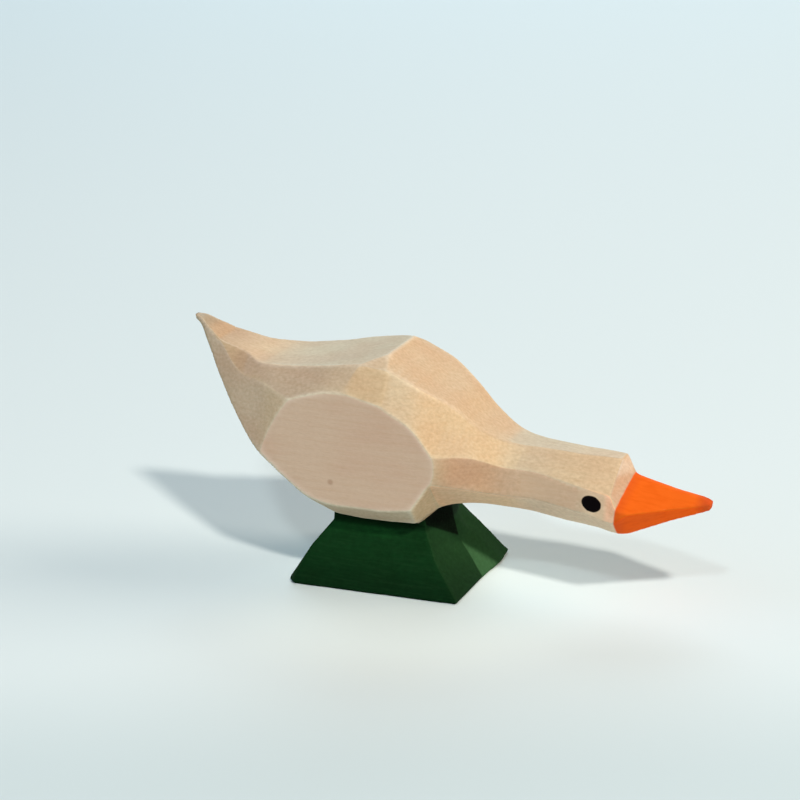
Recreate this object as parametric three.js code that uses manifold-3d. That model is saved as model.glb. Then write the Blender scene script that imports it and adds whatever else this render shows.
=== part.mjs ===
// Carved goose figurine, stooping to graze: one piece of board, sawn to its side outline and
// faceted with a knife. Millimetres, +X towards the beak, +Y to the goose's left, +Z up.
// The origin is the middle of the underside of the base.
import * as THREE from 'three';
import { mergeVertices } from 'three/addons/utils/BufferGeometryUtils.js';
import Module from 'manifold-3d';

// Driving sizes of the figure.
const FLANK_WIDTH = 27.8;
const BACK_HEIGHT = 43.1;
const BACK_AT = 0.3;
const BACK_RIDGE_WIDTH = 12.8;
const TAIL_TIP_AT = -40.9;
const TAIL_TIP_HEIGHT = 44.7;
const TAIL_TIP_WIDTH = 1.2;
const BEAK_TIP_AT = 59.3;
const BEAK_TIP_HEIGHT = 20.2;
const BEAK_TIP_SIZE = 2;
const BELLY_HEIGHT = 12.7;
const BELLY_WIDTH = 21.6;
const HEAD_WIDTH = 17.6;
const NECK_WIDTH = 13.2;

// Driving sizes of the base.
const BASE_LENGTH = 32.8;
const BASE_REAR_WIDTH = 31.4;
const BASE_FRONT_WIDTH = 29.2;
const BASE_RIM_HEIGHT = 0.5;
const BASE_RIM_INSET = 0.25;
const BASE_TOP_HEIGHT = 10.9;
const BASE_TOP_LENGTH = 19.5;
const BASE_TOP_WIDTH = 17.8;
const BASE_WAIST_HEIGHT = 6.2;
const BASE_ROOT_HEIGHT = 17;

const COLUMNS_PER_CUT = 5;
const FLANK_ROWS = 3;
const FLANK = FLANK_WIDTH / 2;
const BELLY = BELLY_WIDTH / 2;
const HEAD = HEAD_WIDTH / 2;
const NECK = NECK_WIDTH / 2;
const BEAK = BEAK_TIP_SIZE / 2;
const TAIL = TAIL_TIP_WIDTH / 2;

// The knife's ridges run from the tail to the beak, and the facets lie between them. Each row is
// one place where the cuts turn. It gives a point [x, half width, z] on the ridge beside the back,
// on the upper and the lower ridge of the flank, and on the ridge beside the belly. Two ridges that
// share a point have run together there, and the facet between them has ended.
const TURNS = [
  {
    place: 'tail tip',
    back: [TAIL_TIP_AT, TAIL, TAIL_TIP_HEIGHT],
    upper: [TAIL_TIP_AT, TAIL, TAIL_TIP_HEIGHT],
    lower: [TAIL_TIP_AT + 0.2, TAIL, TAIL_TIP_HEIGHT - 0.8],
    belly: [TAIL_TIP_AT + 0.2, TAIL, TAIL_TIP_HEIGHT - 0.8],
  },
  {
    place: 'edge of the tail',
    back: [-39.4, 1.3, 44.4],
    upper: [-39.4, 1.3, 44.4],
    lower: [-39.3, 1.5, 43.2],
    belly: [-39.3, 1.5, 43.2],
  },
  {
    place: 'blade of the tail',
    back: [-37.8, 2.3, 43.45],
    upper: [-37.8, 2.3, 43.45],
    lower: [-37.7, 2.8, 41.3],
    belly: [-37.7, 2.8, 41.3],
  },
  {
    place: 'end of the tail wedge',
    back: [-34.3, 4.2, 41.5],
    upper: [-34.3, 4.2, 41.5],
    lower: [-34.1, 5.6, 36],
    belly: [-34.1, 5.6, 36],
  },
  {
    place: 'middle of the tail',
    back: [-28.4, 5.2, 40.1],
    upper: [-28.8, 7.8, 37],
    lower: [-28.8, 9.7, 29.5],
    belly: [-28.8, 9.7, 29.5],
  },
  {
    place: 'root of the tail',
    back: [-24.7, 7.5, 39.2],
    upper: [-23, 10.6, 36.1],
    lower: [-25, 12.3, 25.8],
    belly: [-25, 12.3, 25.8],
  },
  {
    place: 'rear of the flank',
    back: [-19.3, 8.3, 39.4],
    upper: [-16.3, FLANK, 34.9],
    lower: [-22.1, FLANK, 23.7],
    belly: [-22.1, FLANK, 23.7],
    flankBow: -0.8,
  },
  {
    place: 'rear of the belly',
    back: [-14.4, 8.9, 40],
    upper: [-11.8, FLANK, 36.4],
    lower: [-14.2, FLANK, 17.7],
    belly: [-13.9, 13.4, 17],
  },
  {
    place: 'middle of the saddle',
    back: [-9.8, 9.8, 40.9],
    upper: [-9.1, FLANK, 37],
    lower: [-9.4, FLANK, 15.9],
    belly: [-8.4, BELLY, BELLY_HEIGHT + 0.5],
  },
  {
    place: 'rear of the back ridge',
    back: [-3.7, 10.4, 41.75],
    crest: [-3.7, 6.2, 42.2],
    upper: [-5.4, FLANK, 37.1],
    lower: [-3, FLANK, 15.7],
    belly: [-3, BELLY, BELLY_HEIGHT],
  },
  {
    place: 'front of the back ridge',
    back: [1.4, 10.1, 41.2],
    crest: [BACK_AT, BACK_RIDGE_WIDTH / 2, BACK_HEIGHT],
    upper: [1.4, FLANK, 35.6],
    lower: [1.5, FLANK, 15.8],
    belly: [1.5, BELLY, BELLY_HEIGHT + 0.1],
  },
  {
    place: 'shoulder',
    back: [7.4, 9.7, 38.5],
    upper: [7.5, FLANK, 31.8],
    lower: [7.5, FLANK, 16.6],
    belly: [7.1, BELLY, BELLY_HEIGHT + 0.3],
  },
  {
    place: 'front of the flank',
    back: [12.8, 7.5, 35.1],
    upper: [11.3, FLANK, 27.2],
    lower: [11, FLANK, 22],
    belly: [11.1, 8.6, 15.9],
    flankBow: 0.5,
  },
  {
    place: 'breast',
    back: [17.2, 6, 31.4],
    upper: [17.6, 10.3, 26.7],
    lower: [17, 10.7, 20.7],
    belly: [16, 6.5, 16.8],
  },
  {
    place: 'root of the neck',
    back: [21.6, 4.5, 28.85],
    upper: [22.6, 7.6, 24.8],
    lower: [22.2, 7.8, 19.5],
    belly: [21.3, 4.7, 16.4],
  },
  {
    place: 'middle of the neck',
    back: [28.2, 2.6, 27.75],
    upper: [28.4, NECK, 24.3],
    lower: [28, NECK + 0.1, 19.2],
    belly: [28.4, 3.8, 15.6],
  },
  {
    place: 'cheek',
    back: [38.4, 2.1, 27.4],
    upper: [38.6, 7.5, 22.6],
    lower: [38.8, 8.2, 18],
    belly: [39, 4.4, 14.7],
  },
  {
    place: 'brow',
    back: [43.1, 1.6, 27.1],
    upper: [42.7, 7.4, 21.8],
    lower: [42, HEAD - 0.3, 17.5],
    belly: [42.2, 4.8, 14.2],
  },
  {
    place: 'root of the beak',
    back: [45, 0.6, 24.1],
    upper: [44.1, HEAD, 19.7],
    lower: [43.5, HEAD - 0.2, 17.2],
    belly: [43.5, 4.5, 13.9],
  },
  {
    place: 'start of the beak facets',
    back: [45.8, 0.5, 23.8],
    upper: [46.2, HEAD - 0.3, 19.3],
    lower: [46.2, HEAD - 0.3, 19.3],
    belly: [45.2, 4.2, 14.1],
  },
  {
    place: 'middle of the beak',
    back: [52.6, 0.6, 22.1],
    upper: [52.8, 4.6, 19.9],
    lower: [52.8, 4.6, 19.9],
    belly: [52.3, 2.6, 16.9],
  },
  {
    place: 'beak tip',
    back: [BEAK_TIP_AT - 1.4, BEAK * 0.7, BEAK_TIP_HEIGHT + 1],
    upper: [BEAK_TIP_AT, BEAK, BEAK_TIP_HEIGHT + 0.4],
    lower: [BEAK_TIP_AT, BEAK, BEAK_TIP_HEIGHT],
    belly: [BEAK_TIP_AT - 0.2, BEAK, BEAK_TIP_HEIGHT - BEAK],
  },
];

// Places where a ridge has a corner. Between them it runs on as one smooth curve.
const CORNERS = {
  back: ['end of the tail wedge', 'rear of the back ridge', 'front of the back ridge', 'brow'],
  upper: ['end of the tail wedge', 'rear of the flank', 'front of the flank'],
  flank: ['rear of the flank', 'front of the flank'],
  lower: ['rear of the flank', 'shoulder', 'front of the flank'],
  belly: ['rear of the flank', 'middle of the saddle', 'shoulder'],
};
// Between these places and the next ones the ridges run straight.
const STRAIGHT_AFTER = [
  'rear of the back ridge',
  'brow',
  'root of the beak',
  'start of the beak facets',
  'middle of the beak',
];

// Levels of the base, each an outline of corners [x, y] from the near rear one round the front to
// the far rear one. The foot is a little wider at the rear, and its near heel is clipped. The rear
// and both sides slope evenly. The front is cut in two facets that meet on a line near the middle,
// and its far foot has a small kick. Below the first level a low rim is cut in under the sides.
const BASE_LEVELS = [
  {
    height: BASE_RIM_HEIGHT,
    heel: [-BASE_LENGTH / 2, -14.2],
    rearNear: [-15.1, -BASE_REAR_WIDTH / 2],
    frontNear: [BASE_LENGTH / 2 + 0.2, -BASE_FRONT_WIDTH / 2],
    middle: [16.5, -1.1],
    kick: [17.1, 8.4],
    frontFar: [BASE_LENGTH / 2, BASE_FRONT_WIDTH / 2 - 0.3],
    rearFar: [-BASE_LENGTH / 2, BASE_REAR_WIDTH / 2],
  },
  {
    height: BASE_WAIST_HEIGHT,
    rearNear: [-13.3, -11.5],
    frontNear: [11.3, -11.2],
    middle: [11.9, 0.6],
    kick: [12.7, 5.6],
    frontFar: [12.4, 11],
    rearFar: [-13.3, 11.5],
  },
  {
    height: BASE_TOP_HEIGHT,
    rearNear: [-BASE_TOP_LENGTH / 2, -BASE_TOP_WIDTH / 2],
    frontNear: [BASE_TOP_LENGTH / 2 - 1.1, -BASE_TOP_WIDTH / 2],
    middle: [10.6, 0.2],
    kick: [9.9, 4.2],
    frontFar: [BASE_TOP_LENGTH / 2 - 1.1, BASE_TOP_WIDTH / 2],
    rearFar: [-BASE_TOP_LENGTH / 2, BASE_TOP_WIDTH / 2],
  },
  {
    height: BASE_ROOT_HEIGHT,
    rearNear: [-9.4, -8.5],
    frontNear: [7, -8.5],
    middle: [9.2, 0.2],
    kick: [8.6, 4.2],
    frontFar: [7, 8.5],
    rearFar: [-9.4, 8.5],
  },
];

const CREST_SHARE = 0.6;
const MERGE_DISTANCE = 1e-3;

// The edge of the flat along the middle of the back. It lies level with the ridge beside the back,
// except where a turn gives a crest of its own.
function crestAt(turn) {
  const [x, halfWidth, z] = turn.back;
  return turn.crest ?? [x, halfWidth * CREST_SHARE, z];
}

// A point a share of the way down from the upper to the lower ridge of the flank. The flat flank
// ends in bowed lines, so the rows between its ridges stand off the straight line there.
function flankAt(turn, share) {
  const [x, halfWidth, z] = turn.upper.map((value, axis) => value + (turn.lower[axis] - value) * share);
  const bow = (turn.flankBow ?? 0) * 4 * share * (1 - share);
  return [x + bow, halfWidth, z];
}

function columnsAfter(turn) {
  return STRAIGHT_AFTER.includes(turn.place) ? 1 : COLUMNS_PER_CUT;
}

// Points along one ridge, with the same number for every ridge. The flat flank limits them.
function ridge(pointAt, cornerPlaces) {
  const points = TURNS.map((turn) => new THREE.Vector3(...pointAt(turn)));
  const isBreak = (i) => cornerPlaces.includes(TURNS[i].place) || columnsAfter(TURNS[i]) === 1;
  const samples = [points[0]];
  let start = 0;
  for (let end = 1; end < points.length; end += 1) {
    const last = end === points.length - 1;
    const afterStraight = columnsAfter(TURNS[end - 1]) === 1;
    if (!last && !isBreak(end) && !afterStraight) {
      continue;
    }
    const curve = new THREE.CatmullRomCurve3(points.slice(start, end + 1));
    for (let i = start; i < end; i += 1) {
      const columns = columnsAfter(TURNS[i]);
      for (let step = 1; step <= columns; step += 1) {
        samples.push(curve.getPoint((i - start + step / columns) / (end - start)));
      }
    }
    start = end;
  }
  samples.forEach((point) => {
    point.y = Math.min(point.y, FLANK);
  });
  return samples;
}

// One closed ring of points for each column: down the near side, and up the far side.
function rings() {
  const flankShares = Array.from({ length: FLANK_ROWS }, (_, i) => (i + 1) / (FLANK_ROWS + 1));
  const ridges = [
    ridge(crestAt, CORNERS.back),
    ridge((turn) => turn.back, CORNERS.back),
    ridge((turn) => turn.upper, CORNERS.upper),
    ...flankShares.map((share) => ridge((turn) => flankAt(turn, share), CORNERS.flank)),
    ridge((turn) => turn.lower, CORNERS.lower),
    ridge((turn) => turn.belly, CORNERS.belly),
  ];
  return ridges[0].map((_, column) => {
    const far = ridges.map((points) => points[column]);
    const near = far.map((point) => new THREE.Vector3(point.x, -point.y, point.z));
    return [...near, ...far.reverse()];
  });
}

// Two triangles for the quad a, b, c, d, split between b and d or between a and c.
function quad(a, b, c, d, splitAC = false) {
  return splitAC ? [a, b, c, a, c, d] : [a, b, d, b, c, d];
}

// The skin over a row of rings. The far half mirrors the near half, also in how quads are split.
function skin(ringRow) {
  const triangles = [];
  for (let i = 0; i < ringRow.length - 1; i += 1) {
    const ring = ringRow[i];
    const next = ringRow[i + 1];
    const count = ring.length;
    for (let k = 0; k < count; k += 1) {
      const after = (k + 1) % count;
      triangles.push(...quad(ring[k], ring[after], next[after], next[k], k >= count / 2));
    }
  }
  return triangles;
}

// An end of the figure, closed by quads that cross it from side to side.
function endCap(ring, facesForward) {
  const triangles = [];
  for (let k = 0; k < ring.length / 2 - 1; k += 1) {
    const crossing = [ring[k], ring[k + 1], ring.at(-k - 2), ring.at(-k - 1)];
    triangles.push(...quad(...(facesForward ? crossing : crossing.reverse())));
  }
  return triangles;
}

function gooseTriangles() {
  const row = rings();
  return [...skin(row), ...endCap(row[0], false), ...endCap(row.at(-1), true)];
}

// A level without a clipped heel has its first corner twice, so that all levels match.
function levelOutline({ height, heel, ...corners }) {
  const outline = [heel ?? corners.rearNear, ...Object.values(corners)];
  return outline.map(([x, y]) => new THREE.Vector3(x, y, height));
}

// The outline of the foot, drawn in from the lowest level by the same inset all round.
function footOutline(rim) {
  return rim.map((corner, k) => {
    const before = corner.clone().sub(rim.at(k - 1)).normalize();
    const after = rim[(k + 1) % rim.length].clone().sub(corner).normalize();
    const inward = new THREE.Vector3(-before.y - after.y, before.x + after.x, 0);
    const inset = inward.multiplyScalar(BASE_RIM_INSET / (1 + before.dot(after)));
    return new THREE.Vector3(corner.x + inset.x, corner.y + inset.y, 0);
  });
}

function levelCap(outline, facesUp) {
  const contour = outline.map((point) => new THREE.Vector2(point.x, point.y));
  const faces = THREE.ShapeUtils.triangulateShape(contour, []);
  return faces.flatMap(([a, b, c]) => {
    const corners = [outline[a], outline[b], outline[c]];
    return facesUp ? corners : corners.reverse();
  });
}

function baseTriangles() {
  const levels = BASE_LEVELS.map(levelOutline);
  const outlines = [footOutline(levels[0]), ...levels];
  const triangles = [...levelCap(outlines[0], false), ...levelCap(outlines.at(-1), true)];
  for (let i = 0; i < outlines.length - 1; i += 1) {
    const lower = outlines[i];
    const upper = outlines[i + 1];
    lower.forEach((corner, k) => {
      const after = (k + 1) % lower.length;
      triangles.push(...quad(corner, lower[after], upper[after], upper[k]));
    });
  }
  return triangles;
}

function solidOf(wasm, triangles) {
  const loose = new THREE.BufferGeometry().setFromPoints(triangles);
  const merged = mergeVertices(loose, MERGE_DISTANCE);
  const corners = merged.index.array;
  const triVerts = [];
  for (let i = 0; i < corners.length; i += 3) {
    const face = [corners[i], corners[i + 1], corners[i + 2]];
    if (new Set(face).size === 3) {
      triVerts.push(...face);
    }
  }
  const mesh = new wasm.Mesh({
    numProp: 3,
    vertProperties: new Float32Array(merged.getAttribute('position').array),
    triVerts: new Uint32Array(triVerts),
  });
  return new wasm.Manifold(mesh);
}

function geometryOf(solid) {
  const mesh = solid.getMesh();
  const geometry = new THREE.BufferGeometry();
  geometry.setAttribute('position', new THREE.BufferAttribute(mesh.vertProperties, 3));
  geometry.setIndex(new THREE.BufferAttribute(mesh.triVerts, 1));
  geometry.computeVertexNormals();
  return geometry;
}

const wasm = await Module();
wasm.setup();

const carving = solidOf(wasm, gooseTriangles()).add(solidOf(wasm, baseTriangles()));
const maple = new THREE.MeshStandardMaterial({ color: 0xdcc4a0, roughness: 0.62, metalness: 0 });
const goose = new THREE.Mesh(geometryOf(carving), maple);
goose.name = 'goose';

const figurine = new THREE.Group();
figurine.add(goose);

export default figurine;
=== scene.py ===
"""Looks of the carved goose figurine: bare maple, a stained base, a painted beak and eyes.

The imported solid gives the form. Here it becomes a carving: its ridges are rubbed soft, its cuts
waver a little as a hand-held knife leaves them, and wood, stain and paint get their finish.
Sizes in the classes are millimetres and angles are degrees. A bearing runs from -Y towards +X,
and an elevation from the floor up. A mesh becomes metres as its last step. A span, such as the
heights of the dark foot, is a pair of numbers: where the thing starts, and where it is full.
"""

import logging
import math
from collections.abc import Iterable
from dataclasses import dataclass, field
from enum import Enum

import bmesh
import bpy
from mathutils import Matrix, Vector, noise


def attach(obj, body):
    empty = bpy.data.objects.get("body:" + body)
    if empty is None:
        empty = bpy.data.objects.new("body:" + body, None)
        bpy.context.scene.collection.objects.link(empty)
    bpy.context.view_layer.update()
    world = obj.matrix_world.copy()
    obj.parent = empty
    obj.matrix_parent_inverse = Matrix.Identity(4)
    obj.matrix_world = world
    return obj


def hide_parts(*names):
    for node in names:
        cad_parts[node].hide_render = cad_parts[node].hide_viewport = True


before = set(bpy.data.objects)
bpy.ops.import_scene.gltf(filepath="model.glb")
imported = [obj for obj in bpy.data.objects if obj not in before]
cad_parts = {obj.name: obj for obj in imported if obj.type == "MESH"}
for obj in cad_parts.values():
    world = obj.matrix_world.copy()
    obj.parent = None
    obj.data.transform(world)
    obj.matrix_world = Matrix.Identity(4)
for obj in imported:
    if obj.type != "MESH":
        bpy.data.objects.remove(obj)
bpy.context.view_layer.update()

LOG = logging.getLogger("goose")
RIDGE_WEAR = "ridge_wear"

# One millimetre, and how close two corners are that count as one, in Blender's metres.
MM = 0.001
MERGED = 1e-6

# Blender's wave texture repeats after this length when its scale is 1.
WAVE_PERIOD = math.pi / 10

# Ways on the figure, the cosines to the side that make a flat flank, and the photograph's bearing.
SIDE = (0.0, 1.0, 0.0)
DOWN = (0.0, 0.0, -1.0)
FLANK = (0.975, 0.995)
PHOTO_BEARING = 21.5

# Ends for a stretch on X that runs on past the tail or past the beak.
BEHIND, BEFORE = (-60.0, -50.0), (90.0, 100.0)

Socket = bpy.types.NodeSocket
Pair = tuple[float, float]
Triple = tuple[float, float, float]
Stretch = tuple[float, float, float, float]
Value = Socket | float | Vector | Triple | Stretch


class Slot(Enum):
    """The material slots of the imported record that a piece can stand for."""

    MAPLE = "maple"


@dataclass(frozen=True)
class Recipe:
    """A kind of node with the setting and the sockets that make it one step of a finish.

    Attributes:
        kind: Type name of the node without its "ShaderNode" prefix.
        choice: What the node's setting is set to.
        inputs: Numbers of the input sockets, in the order in which the values are given.
        output: Number of the output socket.
        setting: Name of the setting.
    """

    kind: str
    choice: str
    inputs: tuple[int, ...] = (0, 1, 2)
    output: int = 0
    setting: str = "operation"


class Step(Enum):
    """The steps that a finish is worked out with."""

    ADD = Recipe("Math", "ADD")
    SUBTRACT = Recipe("Math", "SUBTRACT")
    MULTIPLY = Recipe("Math", "MULTIPLY")
    MULTIPLY_ADD = Recipe("Math", "MULTIPLY_ADD")
    DIVIDE = Recipe("Math", "DIVIDE")
    POWER = Recipe("Math", "POWER")
    SQUARE_ROOT = Recipe("Math", "SQRT")
    ABSOLUTE = Recipe("Math", "ABSOLUTE")
    MAXIMUM = Recipe("Math", "MAXIMUM")
    LESS_THAN = Recipe("Math", "LESS_THAN")
    GREATER_THAN = Recipe("Math", "GREATER_THAN")
    RISE = Recipe("MapRange", "SMOOTHSTEP", setting="interpolation_type")
    MIX = Recipe("Mix", "FLOAT", (0, 2, 3), 0, "data_type")
    MIX_COLOURS = Recipe("Mix", "RGBA", (0, 6, 7), 2, "data_type")
    MULTIPLY_EACH = Recipe("VectorMath", "MULTIPLY")
    MULTIPLY_ADD_EACH = Recipe("VectorMath", "MULTIPLY_ADD")
    SCALE_ALL = Recipe("VectorMath", "SCALE", (0, 3))
    COSINE = Recipe("VectorMath", "DOT_PRODUCT", output=1)
    DISTANCE = Recipe("VectorMath", "DISTANCE", output=1)


def linear(hex_colour: str) -> Stretch:
    """Turns an sRGB hex colour into linear light.

    Args:
        hex_colour: Colour such as "#DCC4A0".

    Returns:
        Red, green, blue and an alpha of one.
    """
    channels = [int(hex_colour[i : i + 2], 16) / 255 for i in (1, 3, 5)]
    light = [c / 12.92 if c <= 0.04045 else ((c + 0.055) / 1.055) ** 2.4 for c in channels]
    return light[0], light[1], light[2], 1.0


def add_node(
    tree: bpy.types.NodeTree, kind: str, inputs: dict | None = None, **settings: object
) -> bpy.types.Node:
    """Adds a node with its settings and links.

    Args:
        tree: Node tree that gets the node.
        kind: Type name of the node without its "ShaderNode" prefix.
        inputs: Plain values, or output sockets to link from, by input name or number.
        **settings: Properties of the node itself.

    Returns:
        The new node.
    """
    node = tree.nodes.new("ShaderNode" + kind)
    for name, value in settings.items():
        setattr(node, name, value)
    for name, value in (inputs or {}).items():
        if isinstance(value, Socket):
            tree.links.new(value, node.inputs[name])
        else:
            node.inputs[name].default_value = value
    return node


def add_step(tree: bpy.types.NodeTree, step: Step, *values: Value) -> Socket:
    """Adds one step of a finish to a material.

    Args:
        tree: Node tree of the material.
        step: What the step does.
        *values: Plain values, or output sockets to link from, in the order of the step's inputs.

    Returns:
        The step's result.
    """
    recipe = step.value
    inputs = dict(zip(recipe.inputs, values))
    node = add_node(tree, recipe.kind, inputs, **{recipe.setting: recipe.choice})
    return node.outputs[recipe.output]


def add_object(name: str, data: bpy.types.ID) -> bpy.types.Object:
    """Makes an object at the origin and puts it in the scene.

    Args:
        name: Name of the object.
        data: Its mesh, lamp or camera.

    Returns:
        The object.
    """
    thing = bpy.data.objects.new(name, data)
    bpy.context.scene.collection.objects.link(thing)
    return thing


def as_mesh(name: str, shape: bmesh.types.BMesh) -> bpy.types.Mesh:
    """Turns a worked shape into a mesh and frees it.

    Args:
        name: Name of the mesh.
        shape: The shape, which can't be used afterwards.

    Returns:
        The mesh.
    """
    mesh = bpy.data.meshes.new(name)
    shape.to_mesh(mesh)
    shape.free()
    return mesh


def direction(bearing: float, elevation: float) -> Vector:
    """Gives the way in which something stands from the figure.

    Args:
        bearing: Its bearing.
        elevation: Its elevation.

    Returns:
        A unit vector.
    """
    turn, rise = math.radians(bearing), math.radians(elevation)
    level = math.cos(rise)
    return Vector((math.sin(turn) * level, -math.cos(turn) * level, math.sin(rise)))


def look_from(
    thing: bpy.types.Object, aim: Triple, bearing: float, elevation: float, distance: float
) -> None:
    """Puts a lamp or a camera at a distance from a point and turns it to that point.

    Args:
        thing: The lamp or the camera.
        aim: The point that it looks at.
        bearing: Its bearing.
        elevation: Its elevation.
        distance: Distance from the point.
    """
    away = direction(bearing, elevation)
    thing.location = (Vector(aim) + away * distance) * MM
    thing.rotation_euler = away.to_track_quat("Z", "Y").to_euler()


@dataclass
class Ground:
    """What a finish reads: the place and facing of a point on the wood.

    Attributes:
        tree: Node tree of the material.
        place: Object coordinates in millimetres.
        x: First part of place.
        y: Second part of place.
        height: Third part of place.
        across: Distance of the point from the middle plane.
        facing: The surface normal, with its Y turned positive so that both sides are alike.
        forward: First part of facing, which is 1 where the wood faces forwards.
        wear: How proud a ridge stands there, from the mesh's own attribute.
    """

    tree: bpy.types.NodeTree
    place: Socket
    x: Socket
    y: Socket
    height: Socket
    across: Socket
    facing: Socket
    forward: Socket
    wear: Socket

    def work(self, step: Step, *values: Value) -> Socket:
        """Works out one step, such as self.work(Step.ADD, a, 1)."""
        return add_step(self.tree, step, *values)

    def band(self, value: Value, stretch: Stretch) -> Socket:
        """Gives the band in which a value stays within a stretch.

        Args:
            value: The value, such as a height.
            stretch: Values at which the band starts, is full, fades and is gone.

        Returns:
            A share from 0 to 1.
        """
        begin, full, fading, gone = stretch
        falling = self.work(Step.RISE, value, gone, fading)
        return self.work(Step.MULTIPLY, self.work(Step.RISE, value, begin, full), falling)

    def faced(self, way: Triple, spread: Pair) -> Socket:
        """Rises from 0 to 1 between two cosines to a way, which holds on either side."""
        cosine = self.work(Step.COSINE, self.facing, Vector(way).normalized())
        return self.work(Step.RISE, cosine, *spread)

    def end_grain(self, span: Pair) -> Socket:
        """Rises from 0 to 1 as the wood turns from side grain to end grain."""
        return self.work(Step.RISE, self.work(Step.ABSOLUTE, self.forward), *span)

    def tinted(self, share: Value, colour: Value, factor: Triple) -> Socket:
        """Multiplies a colour's red, green and blue by a factor, as far as a share of 1."""
        tint = self.work(Step.MIX_COLOURS, share, (1.0, 1.0, 1.0, 1.0), (*factor, 1.0))
        return self.work(Step.MULTIPLY_EACH, colour, tint)

    def grain(self, size: Triple, detail: float = 2.0) -> Socket:
        """Gives a fixed noise.

        Args:
            size: Sizes of its blots along X, Y and Z.
            detail: How many times finer blots are laid over them.

        Returns:
            A value from 0 to 1.
        """
        scale = [1 / length for length in size]
        stretched = add_node(self.tree, "Mapping", {"Vector": self.place, "Scale": scale})
        inputs = {"Vector": stretched.outputs[0], "Scale": 1.0, "Detail": detail}
        return add_node(self.tree, "TexNoise", inputs).outputs[0]

    def swing(self, size: Triple, detail: float = 2.0) -> Socket:
        """Gives the same noise about a middle of 0."""
        return self.work(Step.SUBTRACT, self.grain(size, detail), 0.5)


@dataclass
class Surface:
    """The finish so far at each point: its colour, its roughness and its height in millimetres."""

    colour: Socket
    roughness: Socket
    height: Socket

    def covered(
        self, ground: Ground, share: Value, colour: Value, rough: float, height: Value
    ) -> "Surface":
        """Lays a coat over this surface.

        Args:
            ground: What the finish reads.
            share: How far the coat covers, from 0 to 1.
            colour: The coat's colour.
            rough: The coat's roughness.
            height: The coat's height in millimetres.

        Returns:
            The surface with the coat on it.
        """
        return Surface(
            ground.work(Step.MIX_COLOURS, share, self.colour, colour),
            ground.work(Step.MIX, share, self.roughness, rough),
            ground.work(Step.MIX, share, self.height, height),
        )


@dataclass(frozen=True)
class Cut:
    """A group of knife cuts with a tone of its own by the way it faces.

    The tone is partly how the cuts take oil, stain or paint and partly painted light and shade.

    Attributes:
        facing: Outward direction of the cuts, on either side of the middle plane.
        spread: Cosines to that direction.
        along: Places on X where the tone comes in, is full, fades and is gone.
        tone: Factor on red, green and blue, as every tone is.
        up: Heights of the tone, where it keeps to the top of the cuts.
    """

    facing: Triple
    spread: Pair
    along: Stretch
    tone: Triple
    up: Pair | None = None

    def share(self, ground: Ground) -> Socket:
        """Gives how far a point belongs to these cuts.

        Args:
            ground: What the finish reads.

        Returns:
            A share from 0 to 1.
        """
        work, turned = ground.work, ground.faced(self.facing, self.spread)
        if self.up:
            turned = work(Step.MULTIPLY, turned, work(Step.RISE, ground.height, *self.up))
        return work(Step.MULTIPLY, turned, ground.band(ground.x, self.along))


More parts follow.
